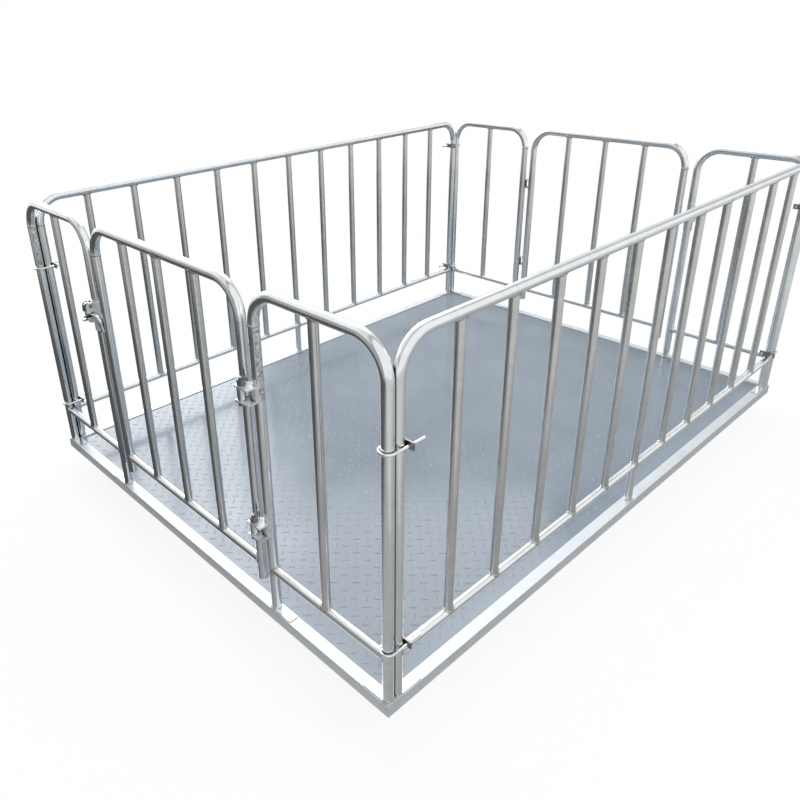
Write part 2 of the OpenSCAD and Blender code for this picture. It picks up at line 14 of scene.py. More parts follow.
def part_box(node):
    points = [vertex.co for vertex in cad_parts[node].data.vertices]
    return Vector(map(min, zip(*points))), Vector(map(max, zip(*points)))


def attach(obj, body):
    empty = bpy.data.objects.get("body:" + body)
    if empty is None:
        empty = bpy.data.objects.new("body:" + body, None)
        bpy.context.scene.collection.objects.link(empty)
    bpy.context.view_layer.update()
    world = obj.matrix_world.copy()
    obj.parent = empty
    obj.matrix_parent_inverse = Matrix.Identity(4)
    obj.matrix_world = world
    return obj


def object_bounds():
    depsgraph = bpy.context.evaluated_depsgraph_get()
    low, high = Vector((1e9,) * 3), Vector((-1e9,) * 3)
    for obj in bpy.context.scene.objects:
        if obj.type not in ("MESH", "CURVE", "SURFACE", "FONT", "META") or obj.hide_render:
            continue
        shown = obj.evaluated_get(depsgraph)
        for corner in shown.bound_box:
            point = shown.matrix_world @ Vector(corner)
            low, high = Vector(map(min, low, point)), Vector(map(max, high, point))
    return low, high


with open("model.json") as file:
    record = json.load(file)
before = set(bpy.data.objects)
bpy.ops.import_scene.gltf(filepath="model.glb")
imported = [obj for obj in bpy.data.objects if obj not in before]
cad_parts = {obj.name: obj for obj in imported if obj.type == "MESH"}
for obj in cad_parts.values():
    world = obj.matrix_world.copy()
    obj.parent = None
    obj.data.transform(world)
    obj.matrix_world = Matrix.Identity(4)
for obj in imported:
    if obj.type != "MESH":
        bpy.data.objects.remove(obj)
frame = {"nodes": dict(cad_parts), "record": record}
cad_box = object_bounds()
solids = frame["nodes"]
MM = 0.001
UP = Vector((0, 0, 1))

# Sizes of the solids that the added pieces follow
HOOP_R = 12.5 * MM
BAR_R = 10.5 * MM
RAIL_R = 11 * MM
BEND_R = 75 * MM
UBOLT_R = 3 * MM
HINGE_BOLT_R = 5 * MM
RAIL_ABOVE_RIM = 115 * MM
RIM_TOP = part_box("rim_frame")[1].z
FENCE_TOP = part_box("right_side_panel")[1].z
TOP_AXIS = FENCE_TOP - HOOP_R
RAIL_AXIS = RIM_TOP + RAIL_ABOVE_RIM


# Materials

# Most of a noise texture's values lie between these
NOISE_LOW = 0.3
NOISE_HIGH = 0.7
# Share of the crystals in the tone of a zinc skin, the rest being its clouds
CRYSTAL_SHARE = 0.2
# Painted shade in the corners of dipped steel, where shade falls: its tone, and the shares of open air round
# a spot at which the skin is darkest and unshaded
CORNER_SHADE = "303131"
CORNER_SHUT = 0.38
CORNER_OPEN = 0.62
# Height of the waves and grains that the bump draws
RELIEF_DEPTH = 0.3 * MM
# Enamel on the deck: widths of its clouds and its orange peel, the peel's height, and its roughness
ENAMEL_CLOUD_MM = 260
PEEL_MM = 9
PEEL_DEPTH = 0.5 * MM
ENAMEL_ROUGH_LOW = 0.13
ENAMEL_ROUGH_HIGH = 0.22


def linear(code):
    """Linear RGBA from an sRGB hex value."""
    parts = [int(code[i:i + 2], 16) / 255 for i in (0, 2, 4)]
    return [p / 12.92 if p <= 0.04045 else ((p + 0.055) / 1.055) ** 2.4 for p in parts] + [1.0]


def put(tree, kind, inputs=None, **settings):
    """Adds a node: settings are its own properties, inputs are values or sockets to link from."""
    node = tree.nodes.new(kind)
    for name, value in settings.items():
        setattr(node, name, value)
    for name, value in (inputs or {}).items():
        if isinstance(value, bpy.types.NodeSocket):
            tree.links.new(value, node.inputs[name])
        else:
            node.inputs[name].default_value = value
    return node


def start(name):
    """A new material with its shader, and the point on the piece that its patterns use."""
    material = bpy.data.materials.new(name)
    material.use_nodes = True
    tree = material.node_tree
    shader = tree.nodes["Principled BSDF"]
    point = put(tree, "ShaderNodeTexCoord").outputs["Object"]
    return material, tree, shader, point


def per_metre(size_mm):
    """Texture scale at which one feature of the pattern is this many millimetres wide."""
    return 1000 / size_mm


def zinc_coat(name, pale, dull, spangle_mm, wave_mm, rough_low, rough_high, relief, metallic=1.0, cloud_mm=90,
              corner_mm=0):
    """Galvanised steel: a bright metal skin whose clouds and crystals shift the tone and gloss a little.

    With corner_mm the skin is painted darker that deep into its corners: painted shade.
    """
    material, tree, shader, point = start(name)
    crystal = put(tree, "ShaderNodeTexVoronoi", {"Vector": point, "Scale": per_metre(spangle_mm)})
    cloud = put(tree, "ShaderNodeTexNoise", {"Vector": point, "Scale": per_metre(cloud_mm), "Detail": 3.0})
    wave = put(tree, "ShaderNodeTexNoise", {"Vector": point, "Scale": per_metre(wave_mm), "Detail": 2.0})
    tone = put(tree, "ShaderNodeMix", {"Factor": CRYSTAL_SHARE, "A": cloud.outputs["Fac"],
                                       "B": crystal.outputs["Color"]}, data_type="FLOAT")
    spread = put(tree, "ShaderNodeMapRange", {"Value": tone.outputs["Result"], "From Min": NOISE_LOW,
                                              "From Max": NOISE_HIGH})
    colour = put(tree, "ShaderNodeMix", {"Factor": spread.outputs["Result"], "A": linear(dull),
                                         "B": linear(pale)}, data_type="RGBA")
    gloss = put(tree, "ShaderNodeMapRange", {"Value": cloud.outputs["Fac"], "From Min": NOISE_LOW,
                                             "From Max": NOISE_HIGH, "To Min": rough_low,
                                             "To Max": rough_high})
    bump = put(tree, "ShaderNodeBump", {"Height": wave.outputs["Fac"], "Strength": relief,
                                        "Distance": RELIEF_DEPTH})
    if corner_mm:
        # Painted shade: the skin darkens where little open air reaches
        air = put(tree, "ShaderNodeAmbientOcclusion", {"Distance": corner_mm * MM}, samples=8)
        unshaded = put(tree, "ShaderNodeMapRange", {"Value": air.outputs["AO"], "From Min": CORNER_SHUT,
                                                 "From Max": CORNER_OPEN})
        colour = put(tree, "ShaderNodeMix", {"Factor": unshaded.outputs["Result"], "A": linear(CORNER_SHADE),
                                             "B": colour.outputs["Result"]}, data_type="RGBA")
    tree.links.new(colour.outputs["Result"], shader.inputs["Base Color"])
    tree.links.new(gloss.outputs["Result"], shader.inputs["Roughness"])
    tree.links.new(bump.outputs["Normal"], shader.inputs["Normal"])
    shader.inputs["Metallic"].default_value = metallic
    return material


def tread_paint():
    """Gloss enamel on hot rolled tread plate: a level blue-grey film with a faint orange peel.

    The peel is drawn coarser than the real one so that it shows.
    """
    material, tree, shader, point = start("gloss_enamel_on_tread_plate")
    cloud = put(tree, "ShaderNodeTexNoise", {"Vector": point, "Scale": per_metre(ENAMEL_CLOUD_MM),
                                             "Detail": 4.0})
    peel = put(tree, "ShaderNodeTexNoise", {"Vector": point, "Scale": per_metre(PEEL_MM), "Detail": 2.0})
    spread = put(tree, "ShaderNodeMapRange", {"Value": cloud.outputs["Fac"], "From Min": NOISE_LOW,
                                              "From Max": NOISE_HIGH})
    colour = put(tree, "ShaderNodeMix", {"Factor": spread.outputs["Result"], "A": linear("808D9A"),
                                         "B": linear("8B98A4")}, data_type="RGBA")
    gloss = put(tree, "ShaderNodeMapRange", {"Value": cloud.outputs["Fac"], "From Min": NOISE_LOW,
                                             "From Max": NOISE_HIGH, "To Min": ENAMEL_ROUGH_LOW,
                                             "To Max": ENAMEL_ROUGH_HIGH})
    bump = put(tree, "ShaderNodeBump", {"Height": peel.outputs["Fac"], "Strength": 0.08,
                                        "Distance": PEEL_DEPTH})
    tree.links.new(colour.outputs["Result"], shader.inputs["Base Color"])
    tree.links.new(gloss.outputs["Result"], shader.inputs["Roughness"])
    tree.links.new(bump.outputs["Normal"], shader.inputs["Normal"])
    return material


def plain_finish(name, light, dark, grain_mm, roughness, relief, metallic=0.0):
    """A moulded, primed or plated surface: two close tones and a grain, coarse enough to show."""
    material, tree, shader, point = start(name)
    grain = put(tree, "ShaderNodeTexNoise", {"Vector": point, "Scale": per_metre(grain_mm), "Detail": 4.0})
    colour = put(tree, "ShaderNodeMix", {"Factor": grain.outputs["Fac"], "A": linear(dark),
                                         "B": linear(light)}, data_type="RGBA")
    bump = put(tree, "ShaderNodeBump", {"Height": grain.outputs["Fac"], "Strength": relief,
                                        "Distance": RELIEF_DEPTH})
    tree.links.new(colour.outputs["Result"], shader.inputs["Base Color"])
    tree.links.new(bump.outputs["Normal"], shader.inputs["Normal"])
    shader.inputs["Roughness"].default_value = roughness
    shader.inputs["Metallic"].default_value = metallic
    return material


# Tube galvanised after bending: an even bright skin, with painted shade only where two tubes nearly touch
FENCE_ZINC = zinc_coat("galvanised_bent_tube", "F1F4F6", "E4E7E9", spangle_mm=14, wave_mm=30,
                       rough_low=0.16, rough_high=0.23, relief=0.05, corner_mm=10)
# Galvanised tube on the bars: a greyer, duller copy of the bent tube's zinc, with painted shade deep in its
# welded corners
BAR_ZINC = zinc_coat("greyer_galvanised_tube_on_bars", "DDDFDE", "CFD1D0", spangle_mm=14, wave_mm=30,
                     rough_low=0.2, rough_high=0.27, relief=0.05, corner_mm=40)
# Galvanised square tube that has dulled outdoors: an even, half matt pale grey
RIM_ZINC = zinc_coat("dulled_zinc_on_square_tube", "D8DDE1", "CDD3D8", spangle_mm=12, wave_mm=25,
                     rough_low=0.38, rough_high=0.5, relief=0.1, metallic=0.3)
# Zinc over a weld bead: mottled at the size of its ripples, with painted shade in its corners
WELD_ZINC = zinc_coat("galvanised_weld_bead", "D8DAD9", "BCBEBD", spangle_mm=4, wave_mm=3,
                      rough_low=0.25, rough_high=0.4, relief=0.2, corner_mm=12)
# Zinc that ran and froze: bright and dark blotches on lumps
RUN_ZINC = zinc_coat("frozen_zinc_runs", "F0F2F2", "74777A", spangle_mm=6, wave_mm=4,
                     rough_low=0.3, rough_high=0.5, relief=0.5, metallic=0.6, cloud_mm=9)
# Bent plate with a thick hot dip: small spangles, a soft shine and painted shade in its inner corners
PLATE_ZINC = zinc_coat("hot_dipped_zinc_on_plate", "F0F2F2", "D8DBDB", spangle_mm=7, wave_mm=5,
                       rough_low=0.28, rough_high=0.4, relief=0.2, metallic=0.6, cloud_mm=16, corner_mm=25)
# Steel with thin bright zinc plating: shiny, with hardly a pattern
FASTENER_ZINC = zinc_coat("bright_zinc_plated_steel", "F2F4F5", "E0E3E5", spangle_mm=5, wave_mm=6,
                          rough_low=0.18, rough_high=0.28, relief=0.04)
# Enamel on tread plate: a glossy blue-grey that mirrors the fence
TREAD_PAINT = tread_paint()
# Plated steel gone dull: an even grey sheen
DULL_STEEL = plain_finish("dull_plated_steel", "9A9C9D", "7C7E80", grain_mm=2, roughness=0.4, relief=0.12,
                          metallic=1.0)
# Steel in grey primer: flat and matt
PRIMER = plain_finish("grey_primer_on_steel", "9A9FA3", "8A8F93", grain_mm=4, roughness=0.6, relief=0.12)
# Alloy steel plated with nickel: a plain satin sheen
CELL_NICKEL = plain_finish("nickel_plated_alloy_steel", "C9CACB", "B9BABB", grain_mm=2, roughness=0.33,
                           relief=0.05, metallic=1.0)
# Moulded black rubber: nearly black and matt
RUBBER = plain_finish("moulded_black_rubber", "262626", "191919", grain_mm=2, roughness=0.75, relief=0.2)
# Moulded grey ABS: a soft sheen on a fine texture
BOX_PLASTIC = plain_finish("moulded_grey_abs", "A6A9AA", "9A9D9E", grain_mm=1.5, roughness=0.5, relief=0.1)
# Moulded black nylon: dark, with the same soft sheen
GLAND_NYLON = plain_finish("moulded_black_nylon", "2E2E2E", "202020", grain_mm=1.5, roughness=0.5, relief=0.1)

FINISH_OF_SLOT = {
    "rim_zinc": RIM_ZINC,
    "tread_plate": TREAD_PAINT,
    "under_frame": PRIMER,
    "plated_steel": FASTENER_ZINC,
    "load_cell": CELL_NICKEL,
    "dark_steel": DULL_STEEL,
    "rubber": RUBBER,
    "box_plastic": BOX_PLASTIC,
    "gland_plastic": GLAND_NYLON,
    "fence_zinc": FENCE_ZINC,
}
# Bent plate takes a rougher coat than drawn tube, and the clamps' pressed plates take the dark dull steel as
# painted shade on their faces
FINISH_OF_NODE = {
    "entry_hinge_brackets": PLATE_ZINC,
    "exit_hinge_brackets": PLATE_ZINC,
    "entry_latch_bracket": PLATE_ZINC,
    "exit_latch_bracket": PLATE_ZINC,
    # Dark dull steel on the saddle plates: painted shade
    "clamp_saddle_plates": DULL_STEEL,
}
for entry in frame["record"]["subparts"]:
    node = entry["node"]
    solids[node].data.materials.clear()
    solids[node].data.materials.append(FINISH_OF_NODE.get(node, FINISH_OF_SLOT[entry["material_slot"]]))


# Edges of plate, nuts and square tube are rounded, never knife sharp

RIM_EDGE = 2.5 * MM
GATE_FITTING_EDGE = 0.6 * MM
CLAMP_EDGE = 0.5 * MM
SHARP_ANGLE = math.radians(50)


def round_edges(node, radius, steps=2):
    """Bevels the sharp edges of one node as it is drawn; the solid itself stays."""
    bevel = solids[node].modifiers.new("rounded_edges", "BEVEL")
    bevel.width = radius
    bevel.segments = steps
    bevel.limit_method = "ANGLE"
    bevel.angle_limit = SHARP_ANGLE
    bevel.harden_normals = True


round_edges("rim_frame", RIM_EDGE, steps=3)
for end in ("entry", "exit"):
    for piece in ("hinge_brackets", "hinge_nuts", "hinge_bolts", "latch_bracket", "latch_hook"):
        round_edges(end + "_" + piece, GATE_FITTING_EDGE)
for piece in ("clamp_saddle_plates", "clamp_nuts"):
    round_edges(piece, CLAMP_EDGE)


# Added pieces


def piece_from(bm, name, material, body):
    """Turns a bmesh into a smooth shaded piece that rides on a body."""
    mesh = bpy.data.meshes.new(name)
    bm.to_mesh(mesh)
    bm.free()
    mesh.materials.append(material)
    for face in mesh.polygons:
        face.use_smooth = True
    piece = bpy.data.objects.new(name, mesh)
    bpy.context.scene.collection.objects.link(piece)
    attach(piece, body)


# Tread plate: lens shaped lugs in a lattice that lies cornerwise, each a quarter turn from its neighbours

LUG_PITCH = 28 * MM
LUG_LENGTH = 24 * MM
LUG_WIDTH = 6 * MM
LUG_HEIGHT = 0.6 * MM
LUG_EDGE = 14 * MM
# Rings of a lug from its foot up: share of its size in plan and share of its height
LUG_RINGS = ((1.0, 0.0), (0.86, 0.55), (0.55, 0.9))
LUG_SIDES = 10
# Over 1, the ends of the lens run out to points
LUG_TAPER = 1.4
DIAGONAL = Vector((1, 1, 0)).normalized()
CROSS_DIAGONAL = Vector((1, -1, 0)).normalized()


def add_lug(bm, centre, along, across):
    """One low lens of the tread pattern, its sides rising in rings to a low crown."""
    rings = []
    for size, rise in LUG_RINGS:
        ring = []
        for i in range(LUG_SIDES):
            angle = 2 * math.pi * i / LUG_SIDES
            bulge = abs(math.sin(angle)) ** LUG_TAPER * math.copysign(1, math.sin(angle))
            spot = centre + along * math.cos(angle) * LUG_LENGTH / 2 * size
            spot += across * bulge * LUG_WIDTH / 2 * size
            spot.z += rise * LUG_HEIGHT
            ring.append(bm.verts.new(spot))
        rings.append(ring)
    for low, high in zip(rings, rings[1:]):
        for i in range(LUG_SIDES):
            j = (i + 1) % LUG_SIDES
            bm.faces.new((low[i], low[j], high[j], high[i]))
    top = bm.verts.new((centre.x, centre.y, centre.z + LUG_HEIGHT))
    last = rings[-1]
    for i in range(LUG_SIDES):
        bm.faces.new((last[i], last[(i + 1) % LUG_SIDES], top))


def build_tread():
    """Lugs over the whole deck, short of its edges."""
    low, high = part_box("deck_plate")
    reach = int((high - low).length / 2 / LUG_PITCH)
    bm = bmesh.new()
    for i in range(-reach, reach + 1):
        for j in range(-reach, reach + 1):
            centre = (DIAGONAL * i + CROSS_DIAGONAL * j) * LUG_PITCH
            centre.z = high.z
            if abs(centre.x) > high.x - LUG_EDGE or abs(centre.y) > high.y - LUG_EDGE:
                continue
            if (i + j) % 2:
                add_lug(bm, centre, DIAGONAL, -CROSS_DIAGONAL)
            else:
                add_lug(bm, centre, CROSS_DIAGONAL, DIAGONAL)
    piece_from(bm, "tread_lugs", TREAD_PAINT, "crate")


build_tread()

# Weld beads: a rippled fillet that follows the line where two tubes meet

BEAD_W = 3.4 * MM
FOOT_W = 2.6 * MM
SEAM_W = 3.2 * MM
BEAD_STEPS = 44
# Section of a bead: shares of its width along the one face and along the other, the last one hidden inside
BEAD_SECTION = ((1.0, -0.08), (0.86, 0.34), (0.62, 0.62), (0.34, 0.86), (-0.08, 1.0), (-0.3, -0.3))
# A seam's two faces rise off the tube by this share of its width, so its path lies that much deeper
SEAM_CROWN = 0.8
SEAM_DEPTH = SEAM_W * SEAM_CROWN * sum(BEAD_SECTION[0])
# Ripples along a bead: the share it swells by, the turn from one step to the next, and an uneven share on top
RIPPLE_SWELL = 0.14
RIPPLE_TURN = 1.9
RIPPLE_UNEVEN = 0.1
ripple = random.Random(7)


def add_bead(bm, path, width):
    """Closed bead along a path of points, each with its directions along the two faces that meet there."""
    phase = ripple.uniform(0, 2 * math.pi)
    rings = []
    for i, (point, first, second) in enumerate(path):
        uneven = ripple.uniform(-RIPPLE_UNEVEN, RIPPLE_UNEVEN)
        size = width * (1 + RIPPLE_SWELL * math.sin(phase + i * RIPPLE_TURN) + uneven)
        rings.append([bm.verts.new(point + (first * a + second * b) * size) for a, b in BEAD_SECTION])
    sides = len(BEAD_SECTION)
    for i, ring in enumerate(rings):
        before = rings[i - 1]
        for k in range(sides):
            m = (k + 1) % sides
            bm.faces.new((before[k], ring[k], ring[m], before[m]))


def saddle_path(centre, stub, along, stub_r, tube_r):
    """Line where a stub tube, leaving centre along stub, meets a tube that runs along along."""
    across = stub.cross(along)
    path = []
    for i in range(BEAD_STEPS):
        angle = 2 * math.pi * i / BEAD_STEPS
        sideways = stub_r * math.sin(angle)
        reach = math.sqrt(tube_r ** 2 - sideways ** 2)
        round_stub = along * math.cos(angle) + across * math.sin(angle)
        normal = (stub * reach + across * sideways) / tube_r
        over_tube = (round_stub - normal * round_stub.dot(normal)).normalized()
        path.append((centre + round_stub * stub_r + stub * reach, stub, over_tube))
    return path


def ring_path(centre, radius, upper, lower):
    """Circle round an upright tube; each face is given by its shares upward and outward."""
    path = []
    for i in range(BEAD_STEPS):
        angle = 2 * math.pi * i / BEAD_STEPS
        out = Vector((math.cos(angle), math.sin(angle), 0))
        path.append((centre + out * radius, UP * upper[0] + out * upper[1], UP * lower[0] + out * lower[1]))
    return path


def panel_plan(node, bars):
    """Direction a panel runs in, and where on the floor plan its two legs and its bars stand."""
    low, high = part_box(node)
    along = Vector((1, 0, 0)) if high.x - low.x > high.y - low.y else Vector((0, 1, 0))
    middle = Vector(((low.x + high.x) / 2, (low.y + high.y) / 2, 0))
    half = along * ((high - low).dot(along) / 2 - HOOP_R)
    feet = [middle - half + half * (2 * i / (bars + 1)) for i in range(1, bars + 1)]
    return along, (middle - half, middle + half), feet


def coat_bars(node, along, feet):
    """The bars get their own coat, a greyer and duller copy of the hoops' zinc."""
    solid = solids[node]
    solid.data.materials.append(BAR_ZINC)
    for face in solid.data.polygons:
        spot = solid.matrix_world @ face.center
        if RAIL_AXIS + BAR_R < spot.z < TOP_AXIS - BAR_R:
            if min(abs((spot - foot).dot(along)) for foot in feet) <= BAR_R:
                face.material_index = 1


def weld_panel(node, body, bars, stands, seam_end):
    """Beads on one fence panel or gate: bar ends, rail ends, bend seams and, where it stands, its feet."""
    along, legs, feet = panel_plan(node, bars)
    coat_bars(node, along, feet)
    bm = bmesh.new()
    for foot in feet:
        add_bead(bm, saddle_path(foot + UP * TOP_AXIS, -UP, along, BAR_R, HOOP_R), BEAD_W)
        add_bead(bm, saddle_path(foot + UP * RAIL_AXIS, UP, along, BAR_R, RAIL_R), BEAD_W)
    for end, leg in zip((-1, 1), legs):
        add_bead(bm, saddle_path(leg + UP * RAIL_AXIS, along * -end, UP, RAIL_R, HOOP_R), BEAD_W)
        if end == seam_end:
            seam = leg + UP * (TOP_AXIS - BEND_R)
            add_bead(bm, ring_path(seam, HOOP_R - SEAM_DEPTH, (1, SEAM_CROWN), (-1, SEAM_CROWN)), SEAM_W)
        if stands:
            add_bead(bm, ring_path(leg + UP * RIM_TOP, HOOP_R, (1, 0), (0, 1)), FOOT_W)
    if stands and bars > 1:
        # A long panel stands on its middle bar too
        foot = (legs[0] + legs[1]) / 2
        add_bead(bm, saddle_path(foot + UP * RAIL_AXIS, -UP, along, BAR_R, RAIL_R), BEAD_W)
        add_bead(bm, ring_path(foot + UP * RIM_TOP, BAR_R, (1, 0), (0, 1)), FOOT_W)
    bmesh.ops.recalc_face_normals(bm, faces=bm.faces)
    piece_from(bm, node + "_welds", WELD_ZINC, body)


# The exit end and the left side are the entry end and the right side turned half round
for side, seam_end in (("right", 1), ("left", -1)):
    weld_panel(side + "_side_panel", "crate", bars=11, stands=True, seam_end=seam_end)
for end, seam_end in (("entry", 1), ("exit", -1)):
    for side in ("right", "left"):
        weld_panel(end + "_" + side + "_panel", "crate", bars=1, stands=True, seam_end=seam_end)
    weld_panel(end + "_gate", end + "_gate_leaf", bars=3, stands=False, seam_end=seam_end)

# Zinc that ran and froze in lumps below a bend seam, on the flank of two legs

RUN_STEP = 5 * MM
RUN_COLUMNS = 7
RUN_FROM = math.radians(-138)
RUN_TO = math.radians(-54)
# Height of the tallest lump, the depth of the skin's edge inside the tube, and the shifts in shares of a step
RUN_LUMP = 1.6 * MM
RUN_SINK = 0.2 * MM
RUN_SHIFT_ROUND = 0.3
RUN_SHIFT_DOWN = 0.35
RIGHT_RUN = 165 * MM
LEFT_RUN = 120 * MM
frozen = random.Random(11)


def add_runs(bm, leg, top, length):
    """Lumpy skin on the flank of an upright leg, from top down."""
    rows = int(length / RUN_STEP)
    grid = []
    for i in range(rows + 1):
        line = []
        for k in range(RUN_COLUMNS):
            column = k + frozen.uniform(-RUN_SHIFT_ROUND, RUN_SHIFT_ROUND)
            angle = RUN_FROM + (RUN_TO - RUN_FROM) * column / (RUN_COLUMNS - 1)
            inside = 0 < i < rows and 0 < k < RUN_COLUMNS - 1
            lump = RUN_LUMP * frozen.uniform(0.1, 1.0) ** 2 if inside else -RUN_SINK
            out = Vector((math.cos(angle), math.sin(angle), 0))
            drop = (i + frozen.uniform(-RUN_SHIFT_DOWN, RUN_SHIFT_DOWN)) * RUN_STEP
            line.append(bm.verts.new(leg + out * (HOOP_R + lump) + UP * (top - drop)))
        grid.append(line)
    for upper, lower in zip(grid, grid[1:]):
        for k in range(RUN_COLUMNS - 1):
            bm.faces.new((upper[k], lower[k], lower[k + 1], upper[k + 1]))


def build_runs():
    """Frozen runs on the two legs at the entry end that carry them."""
    bm = bmesh.new()
    for node, length in (("entry_right_panel", RIGHT_RUN), ("entry_left_panel", LEFT_RUN)):
        low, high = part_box(node)
        leg = Vector(((low.x + high.x) / 2, high.y - HOOP_R, 0))
        add_runs(bm, leg, TOP_AXIS - BEND_R - SEAM_W, length)
    piece_from(bm, "zinc_runs", RUN_ZINC, "crate")


build_runs()

# Rolled threads on the clamp bolts and hinge bolts

THREAD_SIDES = 16
# Radius of a crest and of a valley, as shares of the rod's own
THREAD_CREST = 1.07
THREAD_VALLEY = 1.005
CLAMP_PITCH = 1.25 * MM
CLAMP_THREAD = 32 * MM
HINGE_PITCH = 1.5 * MM
HINGE_THREAD = 6 * MM


def add_thread(bm, base, axis, length, radius, pitch):
    """Ridges of a rolled thread round a rod, from base along axis."""
    side = axis.orthogonal().normalized()
    other = axis.cross(side)
    steps = int(length / pitch * 2)
    rings = []
    for i in range(steps + 1):
        r = radius * (THREAD_CREST if i % 2 else THREAD_VALLEY)
        centre = base + axis * (i * pitch / 2)
        rings.append([bm.verts.new(centre + (side * math.cos(t) + other * math.sin(t)) * r)
                      for t in (2 * math.pi * k / THREAD_SIDES for k in range(THREAD_SIDES))])
    for first, second in zip(rings, rings[1:]):
        for k in range(THREAD_SIDES):
            m = (k + 1) % THREAD_SIDES
            bm.faces.new((first[k], first[m], second[m], second[k]))


def islands(node):
    """Boxes of the separate solids in one node; corners at the same spot count as joined."""
    mesh = solids[node].data
    parent = list(range(len(mesh.vertices)))
    spot = {}
    for v in mesh.vertices:
        key = tuple(round(c, 5) for c in v.co)
        parent[v.index] = spot.setdefault(key, v.index)

    def root(i):
        while parent[i] != i:
            parent[i] = parent[parent[i]]
            i = parent[i]
        return i

    for edge in mesh.edges:
        a, b = (root(i) for i in edge.vertices)
        parent[a] = b
    groups = {}
    for v in mesh.vertices:
        groups.setdefault(root(v.index), []).append(v.co)
    return [(Vector(map(min, zip(*g))), Vector(map(max, zip(*g)))) for g in groups.values()]


def build_threads():
    """Threads on the long arms of the corner clamps and on the tops of the hinge bolts."""
    bm = bmesh.new()
    for low, high in islands("corner_u_bolts"):
        inboard = 1 if high.x < 0 else -1
        tip = high.x if inboard > 0 else low.x
        outer = high.y - UBOLT_R if high.y > 0 else low.y + UBOLT_R
        base = Vector((tip - inboard * CLAMP_THREAD, outer, (low.z + high.z) / 2))
        add_thread(bm, base, Vector((inboard, 0, 0)), CLAMP_THREAD, UBOLT_R, CLAMP_PITCH)
    piece_from(bm, "clamp_threads", FASTENER_ZINC, "crate")
    for end in ("entry", "exit"):
        bm = bmesh.new()
        for low, high in islands(end + "_hinge_bolts"):
            base = Vector(((low.x + high.x) / 2, (low.y + high.y) / 2, high.z - HINGE_THREAD))
            add_thread(bm, base, UP, HINGE_THREAD, HINGE_BOLT_R, HINGE_PITCH)
        piece_from(bm, end + "_hinge_threads", DULL_STEEL, "crate")


build_threads()


# Floor, light and camera

FLOOR_RADIUS = 40
# Plain white lies over the floor's own shade: this share up to the first distance, all from the second on
WHITE_SHARE = 0.9
SHADE_REACH = 1.0
WHITE_FROM = 2.2
# Strength of the surround as a light; as seen and as mirrored it is 1
FILL_STRENGTH = 0.32


def build_floor():
    """Pale floor that fades into the white background away from the crate."""
    bm = bmesh.new()
    bmesh.ops.create_circle(bm, cap_ends=True, radius=FLOOR_RADIUS, segments=64)
    mesh = bpy.data.meshes.new("studio_floor")
    bm.to_mesh(mesh)
    bm.free()
    material, tree, shader, point = start("matt_white_floor")
    shader.inputs["Roughness"].default_value = 0.9
    shader.inputs["Specular IOR Level"].default_value = 0.0
    white = put(tree, "ShaderNodeEmission", {"Color": linear("FFFFFF"), "Strength": 1.0})
    rays = put(tree, "ShaderNodeLightPath")
    away = put(tree, "ShaderNodeVectorMath", {0: point}, operation="LENGTH")
    fade = put(tree, "ShaderNodeMapRange", {"Value": away.outputs["Value"], "From Min": SHADE_REACH,
                                            "From Max": WHITE_FROM, "To Min": WHITE_SHARE},
               interpolation_type="SMOOTHSTEP")
    seen = put(tree, "ShaderNodeMath", {0: rays.outputs["Is Camera Ray"],
                                        1: rays.outputs["Is Glossy Ray"]}, operation="MAXIMUM")
    amount = put(tree, "ShaderNodeMath", {0: seen.outputs[0], 1: fade.outputs["Result"]},
                 operation="MULTIPLY")
    colour = put(tree, "ShaderNodeMix", {"Factor": seen.outputs[0], "A": linear("8F908E"),
                                         "B": linear("F7F8F7")}, data_type="RGBA")
    tree.links.new(colour.outputs["Result"], shader.inputs["Base Color"])
    blend = put(tree, "ShaderNodeMixShader", {0: amount.outputs[0], 1: shader.outputs["BSDF"],
                                              2: white.outputs["Emission"]})
    tree.links.new(blend.outputs["Shader"], tree.nodes["Material Output"].inputs["Surface"])
    mesh.materials.append(material)
    floor = bpy.data.objects.new("studio_floor", mesh)
    bpy.context.scene.collection.objects.link(floor)


# Tone of the surround that metal reflects, at shares of the way from the right side over to the left side
SURROUND = ((0.0, 1.0), (0.35, 1.0), (0.4, 0.86), (0.43, 0.35),
            (0.475, 0.35), (0.51, 0.82), (0.7, 0.82), (0.8, 1.0))


def build_world():
    """White surround: seen as white, reflected with a few grey bands, and a softer fill for all else."""
    world = bpy.data.worlds.new("white_studio")
    bpy.context.scene.world = world
    world.use_nodes = True
    tree = world.node_tree
    background = tree.nodes["Background"]
    rays = put(tree, "ShaderNodeLightPath")
    seen = put(tree, "ShaderNodeMath", {0: rays.outputs["Is Camera Ray"],
                                        1: rays.outputs["Is Glossy Ray"]}, operation="MAXIMUM")
    seen = put(tree, "ShaderNodeMath", {0: seen.outputs[0],
                                        1: rays.outputs["Is Transmission Ray"]}, operation="MAXIMUM")
    strength = put(tree, "ShaderNodeMapRange", {"Value": seen.outputs[0], "To Min": FILL_STRENGTH,
                                                "To Max": 1.0})
    direction = put(tree, "ShaderNodeTexCoord").outputs["Generated"]
    split = put(tree, "ShaderNodeSeparateXYZ", {"Vector": direction})
    share = put(tree, "ShaderNodeMapRange", {"Value": split.outputs["Y"], "From Min": -1.0})
    bands = put(tree, "ShaderNodeValToRGB", {"Fac": share.outputs["Result"]})
    marks = bands.color_ramp.elements
    while len(marks) < len(SURROUND):
        marks.new(0.5)
    for mark, (place, tone) in zip(marks, SURROUND):
        mark.position = place
        mark.color = (tone, tone, tone, 1.0)
    colour = put(tree, "ShaderNodeMix", {"Factor": rays.outputs["Is Glossy Ray"], "A": linear("FFFFFF"),
                                         "B": bands.outputs["Color"]}, data_type="RGBA")
    tree.links.new(colour.outputs["Result"], background.inputs["Color"])
    tree.links.new(strength.outputs["Result"], background.inputs["Strength"])


